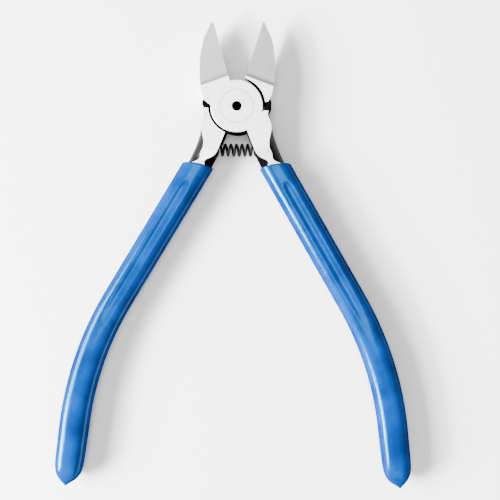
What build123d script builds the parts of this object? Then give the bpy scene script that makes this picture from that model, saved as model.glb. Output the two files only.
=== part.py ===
from build123d import *
import os
from math import cos, radians, sin, tan

# Flush cut pliers lying flat, jaws along +Y, held open against their stop by the spring.
# Origin: the pivot axis, on the plane of the head's underside. Z runs along the pivot.
# Each half is drawn in its own frame with the jaws closed: the pivot at the origin, halfway
# through the head, the cutting edge on x = 0, the blade at -x, the tang at +x and the lap disc
# at +z. The lower half is the same frame turned over, so both halves share every outline.
# Sizes are in millimetres and angles in degrees.

# Opening
half_open = 16.2  # how far each half turns from closed to the open stop
edge_gap = 0.01  # from the closed centre line to each cutting edge
stop_gap = 0.05  # between the two shoulders at the open stop

# Head
head_thick = 9.0
disc_radius = 8.1
recess_gap = 0.6  # between a lap disc and the other half's recess
lap_gap = 0.06  # between the two lap faces
head_edge = 0.2  # chamfer where a disc or recess meets a flat face

# Blades
blade_length = 27.9
tip_width = 0.5
nose_width = 3.8
nose_length = 3.8
belly_level = 16.9
belly_width = 7.25
hip_level = disc_radius + 1.7
hip_width = disc_radius + 0.9
root_width = disc_radius + 1.25
grind_level = disc_radius + 1.6  # where the flat face ends and the ground blade starts
grind_slant = 4.0
grind_step = 0.5
grind_run = 1.4
flush_height = 2.0  # ground face above the middle, at the tip
back_level = disc_radius + 0.8
back_height = 0.9  # back face below the middle, at the tip
edge_land = 0.3  # height left on the cutting edge
bevel_angle = 40.0

# Shoulders of the open stop, where they stand at the open stop
stop_reach = disc_radius + 1.65
stop_rise = 1.45
notch_reach = disc_radius - 0.7
# Fall of each half's shoulders, from the stop inwards: {side: fall}
blade_notch = {1: 1.9, -1: 0.5}
shank_notch = {1: 4.2, -1: 2.9}

# Shanks: levels are distances below the pivot, sides are distances from the closed centre line
shank_levels = (0.4, 4.0, 7.5, 9.5, 11.5, 13.5, 15.5, 17.5, 19.5, 22.5)
waist_side = disc_radius + 0.6
waist_level = 11.0
waist_curve = 44.0  # radius of the outer side
inner_side = 0.8
inner_level = 8.7
inner_slope = 0.1
inner_bend_level = 14.0
inner_curve = 59.0  # radius of the inner side below there
forged_thick = 9.6  # before both faces are ground flat
run_levels = (12.5, 20.2)  # over which the forging thins to the tang
inner_draft = 0.35
outer_draft = 0.12
side_fullness = 0.6  # how square every bowed side is
outer_crown = 2.5  # how far the rounding of the outer side eats into the faces
outer_crown_levels = (8.8, 14.2)
inner_crown = 2.3
inner_crown_levels = (15.4, 20.0)

# Tangs: a straight stretch that leans outwards, one long bend back, and a straight end
tang_width = 7.4
tang_thick = 7.5
tang_flat = 2.6
tang_lean = 14.1
tang_start = 1.2
grip_top_offset = 6.5
grip_top_level = 20.7
straight_length = 48.9
bend_radius = 100.0
bend_angle = 23.7
tang_end = 8.0  # straight length after the bend

# Grips
coat_thick = 0.9
grip_thick = 9.0
grip_flat = 2.6
rim_length = 2.6
rim_round = 0.7
rim_tilt = 19.8  # of the dip line, lower on the outer side
grip_end = 19.8  # straight length after the bend, to the tip
# How the end narrows: (distance from the tip, width as a share of the grip's)
end_slices = ((11.0, 1.0), (10.0, 0.995), (6.0, 0.93), (3.6, 0.78), (1.5, 0.4), (0.0, 0.08))

# Rivet
rivet_radius = 3.2
rivet_head_radius = 5.3
rivet_head_thick = 2.1
running_fit = 0.05
centre_hole_radius = 1.55
centre_hole_depth = 1.6
centre_hole_cone = 0.8

# Return spring
spring_level = 13.15  # below the pivot
spring_radius = 2.1  # outside
wire_radius = 0.4
spring_pitch = 1.75
pocket_gap = 0.4
pocket_end = 8.4  # from the centre line, at the open stop
seat_gap = 0.05

middle = head_thick / 2
recess_radius = disc_radius + recess_gap
grip_width = tang_width + 2 * coat_thick
beyond = 2 * head_thick  # past every face that a cut goes through


def frame(side):
    """A half's own frame at the open stop: side 1 is the upper half, -1 the lower half."""
    turn = radians(half_open)
    across = (side * cos(turn), sin(turn), 0)
    return Plane(origin=(0, 0, middle), x_dir=across, z_dir=(0, 0, side))


def within(local, origin, x_dir, z_dir):
    """A plane stated in a half's own frame."""
    return Plane(local.location * Plane(origin, x_dir=x_dir, z_dir=z_dir).location)


def closed(x, y):
    """A point stated at the open stop, on the upper half's side, in a half's own frame."""
    point = Vector(x, y).rotate(Axis.Z, -half_open)
    return (point.X, point.Y)


def bowed(flat_end, side, half_thick):
    """The corners of a smooth curve from a flat's end, out to the side and back."""
    belly = (4 * side - flat_end) / 3
    rise = side_fullness * half_thick
    top = (flat_end, half_thick)
    return top, (belly, rise), (belly, -rise), (flat_end, -half_thick)


def oval(plane, width, thick, left, right):
    """A section with two bowed sides between flats that run from left to right."""
    with BuildSketch(plane) as section:
        with BuildLine():
            Line((left, thick / 2), (right, thick / 2))
            Bezier(*bowed(right, width / 2, thick / 2))
            Line((right, -thick / 2), (left, -thick / 2))
            Bezier(*bowed(left, -width / 2, -thick / 2))
        make_face()
    return section.sketch


def eased(level, start, end):
    """0 before start, 1 after end, and a smooth rise between them."""
    share = min(max((level - start) / (end - start), 0), 1)
    return share * share * (3 - 2 * share)


def shank_section(local, level):
    """A slice through the forged shank, square to the closed centre line."""
    inner = inner_side + inner_slope * (level - inner_level)
    inner += max(level - inner_bend_level, 0) ** 2 / (2 * inner_curve)
    outer = waist_side + (level - waist_level) ** 2 / (2 * waist_curve)
    half_width = (outer - inner) / 2
    plane = within(local, (inner + half_width, -level, 0), (1, 0, 0), (0, -1, 0))
    left = inner_draft + inner_crown * eased(level, *inner_crown_levels) - half_width
    right = half_width - outer_draft - outer_crown * eased(level, *outer_crown_levels)
    thick = forged_thick + (tang_thick - forged_thick) * eased(level, *run_levels)
    return oval(plane, 2 * half_width, thick, left, right)


def tang_plane(local, along, bend=0.0, beyond_bend=0.0):
    """The plane square to the tang: along its straight stretch, round its bend and past it."""
    lean = radians(tang_lean)
    now = radians(tang_lean - bend)
    x = grip_top_offset + along * sin(lean) + bend_radius * (cos(now) - cos(lean))
    y = -grip_top_level - along * cos(lean) - bend_radius * (sin(lean) - sin(now))
    place = (x + beyond_bend * sin(now), y - beyond_bend * cos(now), 0)
    return within(local, place, (cos(now), sin(now), 0), (sin(now), -cos(now), 0))


def tang_path(local, start, end):
    """The middle of the tang, from this far along its straight stretch to this far past its bend."""
    corner = tang_plane(local, straight_length).origin
    halfway = tang_plane(local, straight_length, bend_angle / 2).origin
    bend_end = tang_plane(local, straight_length, bend_angle).origin
    with BuildLine() as path:
        Line(tang_plane(local, start).origin, corner)
        ThreePointArc(corner, halfway, bend_end)
        Line(bend_end, tang_plane(local, straight_length, bend_angle, end).origin)
    return path.line


def rivet_outline(gap=0.0):
    """Half of the rivet's section, or of the hole for it, wider by gap."""
    neck = rivet_radius + gap
    head = rivet_head_radius + gap
    upper_neck = (neck, head_thick - rivet_head_thick)
    with BuildSketch(Plane.XZ) as outline:
        with BuildLine():
            Polyline((0, 0), (head, 0), (neck, rivet_head_thick), upper_neck)
            Polyline(upper_neck, (head, head_thick), (0, head_thick), (0, 0))
        make_face()
    return outline.sketch


def blade_outline(plane, blade_stop, blade_inner):
    """The blade from its nose to the open stop, with its cutting edge on the centre line."""
    nose = (-nose_width, blade_length - nose_length)
    hip = (-hip_width, hip_level)
    root = (-root_width, (hip_level + blade_stop[1]) / 2)
    with BuildSketch(plane) as outline:
        with BuildLine():
            Polyline((-edge_gap, 0), (-edge_gap, blade_length), (-tip_width, blade_length), nose)
            ThreePointArc(nose, (-belly_width, belly_level), hip)
            Polyline(hip, root, blade_stop, blade_inner, (-edge_gap, 0))
        make_face()
    return outline.sketch


def flush_grind(local, side):
    """The side view of what grinding takes off the blade's flush face."""
    slant = radians(grind_slant)
    plane = within(local, (0, 0, 0), (-sin(slant), cos(slant), 0), (cos(slant), sin(slant), 0))
    foot = (grind_level, side * middle)
    run_end = (grind_level + grind_run, side * (middle - grind_step))
    tip_end = (blade_length, side * flush_height)
    slope = (tip_end[0] - run_end[0], tip_end[1] - run_end[1])
    far_end = (run_end[0] + 2 * slope[0], run_end[1] + 2 * slope[1])
    with BuildSketch(plane) as outline:
        with BuildLine():
            TangentArc(run_end, foot, tangent=(-slope[0], -slope[1]))
            Polyline(run_end, far_end, (far_end[0], side * beyond), (foot[0], side * beyond), foot)
        make_face()
    return outline.sketch


def back_relief(local, side):
    """The side view of what grinding takes off the blade's back."""
    plane = within(local, (0, 0, 0), (0, 1, 0), (1, 0, 0))
    slope = (blade_length - back_level, middle - back_height)
    far_end = (back_level + 2 * slope[0], -side * (middle - 2 * slope[1]))
    with BuildSketch(plane) as outline:
        with BuildLine():
            foot = (back_level, -side * middle)
            Polyline(foot, far_end, (far_end[0], -side * beyond), (foot[0], -side * beyond), foot)
        make_face()
    return outline.sketch


def edge_bevel(local, side):
    """The cross-section of what grinding takes off the back of the cutting edge."""
    fall = (middle - grind_step - flush_height) / (blade_length - grind_level - grind_run)
    height = flush_height + fall * (blade_length - disc_radius) - edge_land
    plane = within(local, (0, disc_radius, side * height), (1, 0, 0), (0, 1, -side * fall))
    edge = (-edge_gap, 0)
    back = (-beyond * tan(radians(bevel_angle)), side * beyond)
    with BuildSketch(plane) as outline:
        with BuildLine():
            Polyline(edge, (beyond, 0), (beyond, side * beyond), back, edge)
        make_face()
    return outline.sketch


def shoulder_cut(plane, shank_stop, shank_inner):
    """What the shank loses above its shoulder."""
    with BuildSketch(plane) as outline:
        with BuildLine():
            outside = (2 * shank_stop[0] - shank_inner[0], 2 * shank_stop[1] - shank_inner[1])
            above = (outside[0], disc_radius)
            Polyline(shank_inner, outside, above, (shank_inner[0], disc_radius), shank_inner)
        make_face()
    return outline.sketch


def make_half(side):
    """One forging: blade, lap disc, shank and tang."""
    local = frame(side)
    back = local.offset(-middle)
    blade_stop = closed(-stop_reach, stop_rise + stop_gap / 2)
    blade_inner = closed(-notch_reach, stop_rise + stop_gap / 2 - blade_notch[side])
    shank_stop = closed(stop_reach, stop_rise - stop_gap / 2)
    shank_inner = closed(notch_reach, stop_rise - stop_gap / 2 - shank_notch[side])
    pocket_plane = Plane(origin=(0, -spring_level, middle), x_dir=(0, 1, 0), z_dir=(side, 0, 0))
    with BuildPart() as half:
        # blade
        extrude(blade_outline(back, blade_stop, blade_inner), amount=head_thick)
        extrude(flush_grind(local, side), amount=beyond, both=True, mode=Mode.SUBTRACT)
        extrude(back_relief(local, side), amount=beyond, both=True, mode=Mode.SUBTRACT)
        extrude(edge_bevel(local, side), amount=2 * blade_length, mode=Mode.SUBTRACT)
        # shank
        loft([shank_section(local, level) for level in shank_levels])
        with BuildSketch(back):
            Rectangle(4 * blade_length, 4 * blade_length)
        extrude(amount=head_thick, mode=Mode.INTERSECT)
        extrude(shoulder_cut(back, shank_stop, shank_inner), amount=head_thick, mode=Mode.SUBTRACT)
        # lap
        with BuildSketch(back):
            Circle(recess_radius)
        extrude(amount=middle + lap_gap / 2, mode=Mode.SUBTRACT)
        with BuildSketch(back):
            Circle(recess_radius + head_edge)
        extrude(amount=head_edge, taper=45, mode=Mode.SUBTRACT)
        with BuildSketch(local.offset(lap_gap / 2)):
            Circle(disc_radius)
        extrude(amount=middle - lap_gap / 2 - head_edge)
        with BuildSketch(local.offset(middle - head_edge)):
            Circle(disc_radius)
        extrude(amount=head_edge, taper=45)
        # tang
        start = tang_plane(local, tang_start)
        tang = oval(start, tang_width, tang_thick, -tang_flat / 2, tang_flat / 2)
        sweep(tang, path=tang_path(local, tang_start, tang_end))
        # spring pocket
        with BuildSketch(pocket_plane):
            Circle(spring_radius + pocket_gap)
        extrude(amount=pocket_end, mode=Mode.SUBTRACT)
        # rivet hole, tight in the upper half
        fit = 0 if side > 0 else running_fit
        revolve(rivet_outline(fit), axis=Axis.Z, mode=Mode.SUBTRACT)
    return half


def make_grip(side, half):
    """The vinyl coat over one tang."""
    local = frame(side)
    flat = grip_flat / 2
    with BuildPart() as grip:
        top = tang_plane(local, 0).rotated((0, -rim_tilt, 0))
        rim = tang_plane(local, rim_length)
        rim_width = (grip_width - rim_round) / cos(radians(rim_tilt))
        top_section = oval(top, rim_width, grip_thick - rim_round, -flat, flat)
        rim_section = oval(rim, grip_width, grip_thick, -flat, flat)
        loft([top_section, rim_section])
        end_sections = []
        for distance, share in end_slices:
            plane = tang_plane(local, straight_length, bend_angle, grip_end - distance)
            section = oval(plane, grip_width * share, grip_thick * share, -flat * share, flat * share)
            end_sections.append(section)
        loft(end_sections)
        sweep(rim_section, path=tang_path(local, rim_length, grip_end - end_slices[0][0]))
        add(half.part, mode=Mode.SUBTRACT)
    return grip


os.makedirs("parts", exist_ok=True)

upper_half = make_half(1)
upper_half.part.label = "upper_half"
export_step(upper_half.part, "parts/upper_half.step")

lower_half = make_half(-1)
lower_half.part.label = "lower_half"
export_step(lower_half.part, "parts/lower_half.step")

right_grip = make_grip(1, upper_half)
right_grip.part.label = "right_grip"
export_step(right_grip.part, "parts/right_grip.step")

left_grip = make_grip(-1, lower_half)
left_grip.part.label = "left_grip"
export_step(left_grip.part, "parts/left_grip.step")

with BuildPart() as pivot_rivet:
    revolve(rivet_outline(), axis=Axis.Z)
    with BuildSketch(Plane.XZ):
        with BuildLine():
            hole_bottom = head_thick - centre_hole_depth
            cone_tip = (0, hole_bottom - centre_hole_cone)
            Polyline(cone_tip, (centre_hole_radius, hole_bottom), (centre_hole_radius, head_thick))
            Polyline((centre_hole_radius, head_thick), (0, head_thick), cone_tip)
        make_face()
    revolve(axis=Axis.Z, mode=Mode.SUBTRACT)
pivot_rivet.part.label = "pivot_rivet"
export_step(pivot_rivet.part, "parts/pivot_rivet.step")

with BuildPart() as return_spring:
    helix_half = pocket_end - seat_gap - wire_radius
    with BuildLine():
        coil = Helix(
            pitch=spring_pitch,
            height=2 * helix_half,
            radius=spring_radius - wire_radius,
            center=(-helix_half, -spring_level, middle),
            direction=(1, 0, 0),
            lefthand=True,
        )
    with BuildSketch(Plane(origin=coil @ 0, z_dir=coil % 0)):
        Circle(wire_radius)
    sweep(path=coil, is_frenet=True)
return_spring.part.label = "return_spring"
export_step(return_spring.part, "parts/return_spring.step")
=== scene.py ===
import math

import bpy
from mathutils import Matrix, Vector


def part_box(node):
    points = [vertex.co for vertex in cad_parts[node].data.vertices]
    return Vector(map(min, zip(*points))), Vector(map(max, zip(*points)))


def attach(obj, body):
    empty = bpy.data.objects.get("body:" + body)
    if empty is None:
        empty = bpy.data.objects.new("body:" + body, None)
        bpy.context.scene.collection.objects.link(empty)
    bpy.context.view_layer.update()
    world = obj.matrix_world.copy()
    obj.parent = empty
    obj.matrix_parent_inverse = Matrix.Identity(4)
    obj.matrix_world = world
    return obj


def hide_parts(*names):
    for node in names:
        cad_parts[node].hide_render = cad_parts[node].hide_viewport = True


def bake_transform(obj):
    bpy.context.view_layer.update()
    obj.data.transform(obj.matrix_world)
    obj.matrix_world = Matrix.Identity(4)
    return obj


# Flush cut pliers lying flat on a pale floor, seen from above.
# The frame is in metres: the pivot stands on the origin, the jaws point along +Y, and the
# upper side is up. MM turns the millimetres used for small sizes into metres.
MM = 0.001

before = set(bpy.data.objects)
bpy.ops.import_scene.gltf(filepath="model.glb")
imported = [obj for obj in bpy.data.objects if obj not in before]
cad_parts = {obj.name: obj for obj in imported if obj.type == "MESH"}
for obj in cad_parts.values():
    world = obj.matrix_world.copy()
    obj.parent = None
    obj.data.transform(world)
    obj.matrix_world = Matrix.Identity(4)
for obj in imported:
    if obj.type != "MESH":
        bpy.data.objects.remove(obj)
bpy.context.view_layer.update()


# ---------------------------------------------------------------- shader helpers


class Shader:
    """A material's node tree, with short calls for the nodes used below."""

    def __init__(self, name):
        self.material = bpy.data.materials.new(name)
        self.material.use_nodes = True
        self.nodes = self.material.node_tree.nodes
        self.links = self.material.node_tree.links
        self.surface = self.nodes["Principled BSDF"]
        coordinates = self.nodes.new("ShaderNodeTexCoord")
        self.place = coordinates.outputs["Object"]
        self.facing = coordinates.outputs["Normal"]

    def join(self, value, socket):
        if isinstance(value, bpy.types.NodeSocket):
            self.links.new(value, socket)
        else:
            socket.default_value = value

    def math(self, operation, a, b=0.0):
        node = self.nodes.new("ShaderNodeMath")
        node.operation = operation
        self.join(a, node.inputs[0])
        self.join(b, node.inputs[1])
        return node.outputs[0]

    def both(self, *shares):
        """The product of several shares."""
        product = shares[0]
        for share in shares[1:]:
            product = self.math("MULTIPLY", product, share)
        return product

    def rest(self, share):
        """What a share leaves of 1."""
        return self.math("SUBTRACT", 1.0, share)

    def axes(self, vector):
        node = self.nodes.new("ShaderNodeSeparateXYZ")
        self.join(vector, node.inputs[0])
        return node.outputs[0], node.outputs[1], node.outputs[2]

    def ramp(self, value, low, high):
        """0 where value is at low, 1 at high, and smooth between them."""
        node = self.nodes.new("ShaderNodeMapRange")
        node.interpolation_type = "SMOOTHSTEP"
        self.join(value, node.inputs["Value"])
        node.inputs["From Min"].default_value = low
        node.inputs["From Max"].default_value = high
        return node.outputs["Result"]

    def scale(self, value, low, high):
        """A value from 0 to 1, spread from low to high."""
        node = self.nodes.new("ShaderNodeMapRange")
        self.join(value, node.inputs["Value"])
        node.inputs["To Min"].default_value = low
        node.inputs["To Max"].default_value = high
        return node.outputs["Result"]

    def noise(self, sizes, detail=3.0, place=None):
        """Noise whose grains measure sizes, in millimetres, along X, Y and Z."""
        mapping = self.nodes.new("ShaderNodeMapping")
        mapping.inputs["Scale"].default_value = [1 / (size * MM) for size in sizes]
        self.join(place or self.place, mapping.inputs["Vector"])
        node = self.nodes.new("ShaderNodeTexNoise")
        node.inputs["Scale"].default_value = 1.0
        node.inputs["Detail"].default_value = detail
        self.join(mapping.outputs[0], node.inputs["Vector"])
        return node.outputs["Fac"]

    def vector(self, x, y, z):
        node = self.nodes.new("ShaderNodeCombineXYZ")
        for value, socket in zip((x, y, z), node.inputs):
            self.join(value, socket)
        return node.outputs[0]

    def mix(self, share, a, b):
        node = self.nodes.new("ShaderNodeMix")
        node.data_type = "RGBA"
        self.join(share, node.inputs["Factor"])
        self.join(a, node.inputs[6])
        self.join(b, node.inputs[7])
        return node.outputs[2]

    def bump(self, height, depth, under=None):
        """Surface relief: height from 0 to 1 stands for depth, in millimetres."""
        node = self.nodes.new("ShaderNodeBump")
        node.inputs["Distance"].default_value = depth * MM
        self.join(height, node.inputs["Height"])
        if under:
            self.join(under, node.inputs["Normal"])
        return node.outputs["Normal"]

    def set(self, **values):
        for name, value in values.items():
            self.join(value, self.surface.inputs[name.replace("_", " ")])
        return self.material


def grey(level, warmth=0.0):
    return (level * (1 + warmth), level, level * (1 - warmth), 1.0)


# ---------------------------------------------------------------- sizes taken from the frame

head_low, head_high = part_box("pivot_rivet")
FACE = head_high.z
UNDERSIDE = head_low.z
RIVET_RADIUS = head_high.x
LAP_RADIUS = 8.1 * MM  # the CAD's disc radius, which the frame doesn't tell
CENTRE_HOLE_RADIUS = 1.55 * MM
MIDDLE = (FACE + UNDERSIDE) / 2
HALF_THICK = (FACE - UNDERSIDE) / 2
spring_low, spring_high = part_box("return_spring")

# ---------------------------------------------------------------- materials


# Where the steel's finish and its painted shade change, measured from the pivot
BLADE_FOOT = 6.2 * MM  # below the foot of the grind on both blades
BLADE_SHADE_FADE = (9.0 * MM, 26.0 * MM)  # over which the painted shade on the ground blade lightens toward the tip
BLADE_WALL = (2.6 * MM, 2.9 * MM)  # the blades' sides are bright above this
SHANK_FACE = (-8.5 * MM, -9.5 * MM)  # below this a shank's bright face may lie below FACE
LEAF = (-7.5 * MM, -9.0 * MM)  # below this a shank's outer side shines a little
# The stop shoulders are painted dark within these, as the shade of an open gap
SHOULDER_SIDE = (7.9 * MM, 8.1 * MM)
SHOULDER_TOP = (3.0 * MM, 2.9 * MM)
SHOULDER_FOOT = {1: -1.35 * MM, -1: -0.6 * MM}
TURNED_RING = (4.8 * MM, 5.2 * MM, 5.3 * MM, 5.6 * MM)
WARM = 0.005
COOL = -0.03


def finish_masks(s, x, y, z, radius, shank_side):
    """Where the steel is bright, less the painted shade of the stop's gap; where it is the ground blade;
    and where the disc's bevelled edge gets a painted highlight.
    """
    upright = s.math("ABSOLUTE", s.axes(s.facing)[2])
    height = s.math("ABSOLUTE", s.math("SUBTRACT", z, MIDDLE))
    level = s.ramp(height, HALF_THICK - 0.03 * MM, HALF_THICK - 0.01 * MM)
    flat = s.both(s.math("MAXIMUM", level, s.ramp(y, *SHANK_FACE)), s.ramp(upright, 0.93, 0.965))
    # The chamfer inside the lap disc, where a white highlight is painted
    chamfer_highlight = s.both(s.ramp(height, HALF_THICK - 0.22 * MM, HALF_THICK - 0.18 * MM),
                     s.ramp(upright, 0.5, 0.65), s.ramp(upright, 0.9, 0.8),
                     s.ramp(radius, LAP_RADIUS + 0.05 * MM, LAP_RADIUS - 0.05 * MM))
    outside = s.ramp(radius, LAP_RADIUS + 1.1 * MM, LAP_RADIUS + 1.3 * MM)
    blade = s.both(s.ramp(y, BLADE_FOOT, BLADE_FOOT + 0.4 * MM), s.rest(level), outside)
    wall = s.both(outside, s.ramp(y, *BLADE_WALL))
    if shank_side == 0:
        hole = s.ramp(radius, CENTRE_HOLE_RADIUS - 0.05 * MM, CENTRE_HOLE_RADIUS + 0.05 * MM)
        return s.both(flat, hole), blade, chamfer_highlight
    # The stop shoulder is solid steel, painted dark as the shade of the open gap that the real tool
    # shows here
    foot = SHOULDER_FOOT[shank_side]
    gap_shade = s.both(s.ramp(s.math("MULTIPLY", x, shank_side), *SHOULDER_SIDE),
                      s.ramp(y, foot - 0.1 * MM, foot), s.ramp(y, *SHOULDER_TOP))
    bright = s.math("MAXIMUM", s.math("MAXIMUM", flat, chamfer_highlight), s.math("MAXIMUM", blade, wall))
    return s.both(bright, s.rest(gap_shade)), blade, chamfer_highlight


def ground_steel(name, shank_side):
    """Forged steel whose flat faces are ground bright and whose sides stay dark, with painted shade on
    the ground blades and at the stops and a painted highlight on the disc's bevelled edge.

    The shank of a half is on shank_side, 1 for right and -1 for left; the rivet has 0.
    """
    s = Shader(name)
    x, y, z = s.axes(s.place)
    radius = s.math("SQRT", s.math("ADD", s.math("MULTIPLY", x, x), s.math("MULTIPLY", y, y)))
    bright, blade, chamfer_highlight = finish_masks(s, x, y, z, radius, shank_side)

    # marks left by turning on the disc and by grinding elsewhere
    mottle = s.noise((2.5, 2.5, 2.5), 4.0)
    fine = s.noise((0.25, 0.25, 0.25), 2.0)
    turned = s.noise((1.0, 1.0, 1.0), 2.0, s.vector(s.math("MULTIPLY", radius, 9.0), 0.0, 0.0))
    lines = s.noise((3.0, 0.09, 3.0), 2.0)
    near_disc = s.ramp(radius, LAP_RADIUS + 0.1 * MM, LAP_RADIUS - 0.1 * MM)
    marks = s.math("ADD", s.both(turned, near_disc), s.both(lines, s.rest(near_disc)))

    face_colour = s.mix(mottle, grey(0.80, WARM), grey(0.92, WARM))
    face_colour = s.mix(s.ramp(marks, 0.45, 0.8), face_colour, grey(0.60, WARM))
    blotches = s.ramp(s.noise((0.9, 0.9, 0.9), 3.0), 0.5, 0.75)
    face_colour = s.mix(s.scale(blotches, 0.0, 0.5), face_colour, grey(0.50, WARM))
    ring_in, ring_full, ring_fade, ring_out = TURNED_RING
    turned_ring = s.both(s.ramp(radius, ring_in, ring_full), s.ramp(radius, ring_out, ring_fade))
    face_colour = s.mix(s.scale(turned_ring, 0.0, 0.5), face_colour, grey(0.55, WARM))
    # Painted highlight: the chamfer inside the lap disc's edge is coloured white
    face_colour = s.mix(chamfer_highlight, face_colour, grey(1.0))
    if shank_side == 0:
        joint_line = s.ramp(radius, RIVET_RADIUS - 0.35 * MM, RIVET_RADIUS - 0.05 * MM)
        face_colour = s.mix(joint_line, face_colour, grey(0.42, WARM))

    # The ground blade is painted darker than the faces as the shade its sloping grind gets, darkest near
    # the grind line; the lines are real grinding marks
    blade_shade_colour = s.mix(mottle, grey(0.40, WARM), grey(0.46, WARM))
    blade_shade_colour = s.mix(s.ramp(y, *BLADE_SHADE_FADE), blade_shade_colour, grey(0.50, WARM))
    blade_shade_colour = s.mix(s.ramp(lines, 0.5, 0.8), blade_shade_colour, grey(0.25, WARM))

    dark_colour = s.mix(s.scale(fine, 0.1, 0.9), grey(0.0006, COOL), grey(0.003, COOL))
    colour = s.mix(bright, dark_colour, s.mix(blade, face_colour, blade_shade_colour))
    rough = s.math("ADD", s.both(bright, s.scale(marks, 0.46, 0.54)),
                   s.both(s.rest(bright), s.scale(fine, 0.32, 0.5)))
    relief = s.bump(marks, 0.008)
    relief = s.bump(fine, 0.006, relief)
    facing_out = s.math("MULTIPLY", s.axes(s.facing)[0], s.math("SIGN", x))
    sheen = s.both(s.ramp(facing_out, 0.2, 0.5), s.ramp(y, *LEAF))
    return s.set(Base_Color=colour, Roughness=rough, Metallic=bright, Normal=relief,
                 Specular_IOR_Level=s.scale(sheen, 0.0, 0.07))


def spring_wire():
    """Drawn wire with fine lengthwise marks, coloured near black as a painted dark reflection of shiny
    steel.
    """
    s = Shader("spring_steel")
    fine = s.noise((0.2, 0.2, 0.2), 3.0)
    # Near black: the dark reflection of shiny wire, painted as colour
    colour = s.mix(fine, grey(0.001, COOL), grey(0.004, COOL))
    s.surface.inputs["Specular IOR Level"].default_value = 0.06
    return s.set(Base_Color=colour, Roughness=s.scale(fine, 0.25, 0.4), Normal=s.bump(fine, 0.004))


def dipped_vinyl():
    """Glossy blue dipped vinyl, slightly uneven as it set."""
    s = Shader("grip_vinyl")
    clouds = s.noise((9.0, 9.0, 9.0), 3.0)
    swell = s.noise((3.5, 6.0, 3.5), 2.0)
    grain = s.noise((0.35, 0.35, 0.35), 3.0)
    deep = (0.0003, 0.014, 0.085, 1.0)
    clear = (0.0006, 0.028, 0.150, 1.0)
    colour = s.mix(s.ramp(clouds, 0.3, 0.7), deep, clear)
    relief = s.bump(swell, 0.05)
    relief = s.bump(grain, 0.004, relief)
    s.surface.inputs["IOR"].default_value = 1.4
    s.surface.inputs["Specular Tint"].default_value = (0.12, 0.7, 1.0, 1.0)
    # Real vinyl reflects more at a grazing look. This one fades, so that the pale floor
    # doesn't whiten the grips' edges.
    edge = s.nodes.new("ShaderNodeLayerWeight")
    edge.inputs["Blend"].default_value = 0.5
    gloss = s.scale(s.ramp(edge.outputs["Facing"], 0.25, 0.45), 0.5, 0.0)
    return s.set(Base_Color=colour, Roughness=s.scale(grain, 0.12, 0.2), Normal=relief,
                 Specular_IOR_Level=gloss)


def paper_floor():
    s = Shader("floor")
    cloud = s.noise((60.0, 60.0, 60.0), 2.0)
    return s.set(Base_Color=s.mix(cloud, grey(0.78), grey(0.81)), Roughness=0.9)


UPPER_STEEL = ground_steel("upper_half_steel", 1)
LOWER_STEEL = ground_steel("lower_half_steel", -1)
RIVET = ground_steel("rivet_steel", 0)
WIRE = spring_wire()
VINYL = dipped_vinyl()

for node, material in (("upper_half", UPPER_STEEL), ("lower_half", LOWER_STEEL), ("pivot_rivet", RIVET)):
    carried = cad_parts[node]
    carried.data.materials.clear()
    carried.data.materials.append(material)


# ---------------------------------------------------------------- mesh helper


def mesh_object(name, points, faces, material):
    """A smooth-shaded mesh piece with one material."""
    mesh = bpy.data.meshes.new(name)
    mesh.from_pydata(points, [], faces)
    mesh.validate()
    mesh.update()
    for polygon in mesh.polygons:
        polygon.use_smooth = True
    mesh.materials.append(material)
    piece = bpy.data.objects.new(name, mesh)
    bpy.context.scene.collection.objects.link(piece)
    return piece


def tube(rings):
    """Points and faces of a closed skin through rings that hold equally many points."""
    count = len(rings[0])
    points = [tuple(point) for ring in rings for point in ring]
    faces = []
    for i in range(len(rings) - 1):
        for j in range(count):
            k = (j + 1) % count
            low, high = i * count, (i + 1) * count
            faces.append((low + j, low + k, high + k, high + j))
    last = (len(rings) - 1) * count
    faces.append(tuple(reversed(range(count))))
    faces.append(tuple(range(last, last + count)))
    return points, faces


def smooth(value, start, end):
    share = min(max((value - start) / (end - start), 0.0), 1.0)
    return share * share * (3 - 2 * share)


# ---------------------------------------------------------------- grips

# The middle line of a grip with the jaws closed: straight, one bend, then straight again
HALF_OPEN = math.radians(16.2)
LEAN = math.radians(14.1)
TOP = Vector((6.5, -20.7)) * MM
STRAIGHT = 48.9 * MM
BEND_RADIUS = 100.0 * MM
BEND = math.radians(23.7)
END = 19.8 * MM
GRIP_LENGTH = STRAIGHT + BEND_RADIUS * BEND + END
HALF_WIDTH = 4.6 * MM
RIM_TILT = math.tan(math.radians(19.8))
RIM_CROWN = 0.3 * MM
RIM_ROUND = 0.55 * MM
LIP = 1.05 * MM
CHANNEL_DEPTH = 0.5 * MM
CHANNEL_HALF_WIDTH = 1.9 * MM
CHANNEL_START = 5.2 * MM
CHANNEL_FADE = (40 * MM, 64 * MM)
SQUARENESS = 2.5
TIP_REACH = 12 * MM
BODY_RINGS = 150
TIP_RINGS = 40
RIM_RINGS = 9
RIGHT_GRIP_SHORTER = 0.9 * MM


def centre_line(along):
    """The middle of a grip this far from its rim, and the directions across it and along it."""
    bend = min(max(along - STRAIGHT, 0.0) / BEND_RADIUS, BEND)
    run = min(along, STRAIGHT)
    tail = max(along - STRAIGHT - BEND_RADIUS * BEND, 0.0)
    now = LEAN - bend
    across = Vector((math.cos(now), math.sin(now)))
    down = Vector((math.sin(now), -math.cos(now)))
    bend_x = BEND_RADIUS * (math.cos(now) - math.cos(LEAN))
    bend_y = BEND_RADIUS * (math.sin(LEAN) - math.sin(now))
    corner = TOP + run * Vector((math.sin(LEAN), -math.cos(LEAN)))
    return corner + Vector((bend_x, -bend_y)) + down * tail, across, down


def end_share(distance):
    """How much of its full width a grip has at this distance from its tip."""
    distance = max(distance, 0.0) / MM
    cone = 1 - math.exp(-((distance / 2.6) ** 1.3))
    drip = 0.06 * math.exp(-distance / 0.6)
    return cone * (0.975 + 0.025 * smooth(distance, 8, 20)) + drip


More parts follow.
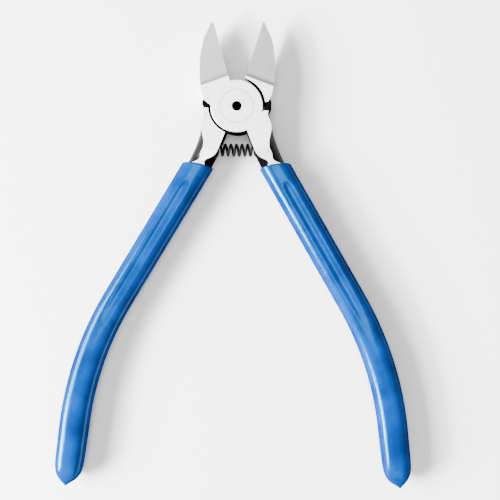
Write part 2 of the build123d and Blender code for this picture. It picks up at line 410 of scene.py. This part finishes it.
def grip_outline(angle, along):
    """A point of the grip's section: across and up from its middle, before its end narrows."""
    c, s = math.cos(angle), math.sin(angle)
    across = HALF_WIDTH * math.copysign(abs(c) ** (2 / SQUARENESS), c)
    up = HALF_THICK * math.copysign(abs(s) ** (2 / SQUARENESS), s)
    offset = abs(across - 0.1 * MM) / CHANNEL_HALF_WIDTH
    if offset < 1:
        begin = CHANNEL_START + 1.6 * MM * offset
        depth = CHANNEL_DEPTH * smooth(along, begin, begin + 2.8 * MM)
        depth *= 1 - smooth(along, *CHANNEL_FADE)
        up -= math.copysign(depth * math.cos(offset * math.pi / 2) ** 2, s)
    return across, up


def grip_ring(side, along, inset=0.0, length=GRIP_LENGTH, around=80):
    """One ring of a grip's skin. Near the rim it follows the tilt of the dip line."""
    share = end_share(length - along)
    drip_side = 0.35 * MM * (1 - smooth(length - along, 0.0, 3.5 * MM))
    lift = 1 - smooth(along, 0.8 * MM, 9 * MM)
    ring = []
    for i in range(around):
        u, up = grip_outline(2 * math.pi * i / around, along)
        u, up = u * share, up * share
        shrink = 1 - inset / math.hypot(u, up)
        u, up = u * shrink, up * shrink
        slide = (u * RIM_TILT - RIM_CROWN * (1 - (u / HALF_WIDTH) ** 2)) * lift
        middle, across, down = centre_line(along + slide)
        point = middle + across * (u + drip_side)
        turned = Matrix.Rotation(HALF_OPEN * side, 2) @ Vector((point.x * side, point.y))
        ring.append((turned.x, turned.y, MIDDLE + up))
    return ring


def make_grip(name, side, body, node, length):
    """A dipped grip: rolled rim, shallow channel, long bend and a dripped tip."""
    rings = [grip_ring(side, 2.5 * MM, LIP + 0.2 * MM), grip_ring(side, 0.2 * MM, LIP + 0.1 * MM)]
    rings.append(grip_ring(side, 0.0, LIP - 0.05 * MM))
    for i in range(RIM_RINGS):
        a = math.pi / 2 * (1 - i / (RIM_RINGS - 1))
        along = RIM_ROUND * (1 - math.sin(a))
        rings.append(grip_ring(side, along, RIM_ROUND * (1 - math.cos(a))))
    tip_start = length - TIP_REACH
    for i in range(1, BODY_RINGS + 1):
        along = RIM_ROUND + (tip_start - RIM_ROUND) * i / BODY_RINGS
        rings.append(grip_ring(side, along, length=length))
    for i in range(1, TIP_RINGS + 1):
        along = tip_start + TIP_REACH * math.sin(math.pi / 2 * i / TIP_RINGS)
        rings.append(grip_ring(side, min(along, length - 0.01 * MM), length=length))
    points, faces = tube(rings if side > 0 else [list(reversed(ring)) for ring in rings])
    piece = mesh_object(name, points, faces, VINYL)
    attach(piece, body)
    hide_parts(node)


make_grip("right_dipped_grip", 1, "upper", "right_grip", GRIP_LENGTH - RIGHT_GRIP_SHORTER)
make_grip("left_dipped_grip", -1, "lower", "left_grip", GRIP_LENGTH)

# ---------------------------------------------------------------- return spring

WIRE_RADIUS = 0.4 * MM
COIL_PITCH = 1.75 * MM
END_PITCH = 1.15 * MM
END_PLAY = 0.5 * MM  # room left at each end for travel


def make_spring():
    """A compression coil, wound closer at each end."""
    centre_y = (spring_low.y + spring_high.y) / 2
    centre_z = (spring_low.z + spring_high.z) / 2
    coil_radius = (spring_high.y - spring_low.y) / 2 - WIRE_RADIUS
    reach = spring_high.x - WIRE_RADIUS - END_PLAY
    steps_per_turn, around = 40, 14
    places, x, turned = [], 0.0, 0.0
    while x < reach:
        places.append((x, turned))
        pitch = COIL_PITCH + (END_PITCH - COIL_PITCH) * smooth(x, reach - 2.2 * MM, reach - 0.8 * MM)
        x += pitch / steps_per_turn
        turned += 2 * math.pi / steps_per_turn
    places = [(-x, -a) for x, a in reversed(places[1:])] + places
    rings = []
    for x, a in places:
        radial = Vector((0.0, math.cos(a), -math.sin(a)))
        round_it = Vector((0.0, -math.sin(a), -math.cos(a))) * coil_radius
        along = (round_it + Vector((COIL_PITCH / (2 * math.pi), 0.0, 0.0))).normalized()
        other = along.cross(radial)
        centre = Vector((x, centre_y, centre_z)) + radial * coil_radius
        ring = []
        for j in range(around):
            b = 2 * math.pi * j / around
            ring.append(centre + (radial * math.cos(b) + other * math.sin(b)) * WIRE_RADIUS)
        rings.append(ring)
    points, faces = tube(rings)
    piece = mesh_object("return_coil_spring", points, faces, WIRE)
    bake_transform(piece)
    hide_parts("return_spring")


make_spring()

# ---------------------------------------------------------------- floor, light and camera


def area_light(name, place, aim, size, power):
    data = bpy.data.lights.new(name, "AREA")
    data.shape = "RECTANGLE"
    data.size, data.size_y = size
    data.energy = power
    light = bpy.data.objects.new(name, data)
    light.location = place
    light.rotation_mode = "QUATERNION"
    light.rotation_quaternion = (Vector(aim) - Vector(place)).to_track_quat("-Z", "Y")
    bpy.context.scene.collection.objects.link(light)


bpy.ops.mesh.primitive_plane_add(size=6.0, location=(0, 0, UNDERSIDE - 0.05 * MM))
floor = bpy.context.object
floor.name = "floor"
floor.data.materials.append(paper_floor())

world = bpy.data.worlds.new("studio")
bpy.context.scene.world = world
world.use_nodes = True
world.node_tree.nodes["Background"].inputs["Color"].default_value = (1, 1, 1, 1)
world.node_tree.nodes["Background"].inputs["Strength"].default_value = 0.42

AIM = (0.005, -0.045, 0.0)
area_light("front_soft", (0.05, -0.95, 0.9), AIM, (1.2, 0.8), 10.0)
area_light("top_soft", (0.0, 0.1, 1.3), AIM, (0.6, 0.6), 12.0)
area_light("left_soft", (-0.85, -0.1, 0.55), AIM, (0.8, 0.5), 80.0)
area_light("left_strip", (-0.75, -0.3, 0.43), (-0.02, -0.1, 0.0), (0.36, 0.09), 30.0)
area_light("left_low_strip", (-0.78, -0.33, 0.27), (-0.02, -0.1, 0.0), (0.4, 0.06), 12.0)

camera_data = bpy.data.cameras.new("camera")
camera = bpy.data.objects.new("camera", camera_data)
bpy.context.scene.collection.objects.link(camera)
bpy.context.scene.camera = camera
TARGET = Vector((4.66, -44.45, 9.0)) * MM
OFFSET = Vector((4.95, -3.45, 271.8)) * MM
ROLL = math.radians(0.72)
FIELD = 153.95 * MM
camera_data.sensor_width = 36.0
camera_data.lens = 36.0 * OFFSET.length / FIELD
camera_data.clip_start = 0.01
camera_data.clip_end = 10.0
camera.location = TARGET + OFFSET
back = OFFSET.normalized()
up = Vector((-math.sin(ROLL), math.cos(ROLL), 0.0))
right = up.cross(back).normalized()
up = back.cross(right)
camera.rotation_mode = "QUATERNION"
camera.rotation_quaternion = Matrix((right, up, back)).transposed().to_quaternion()
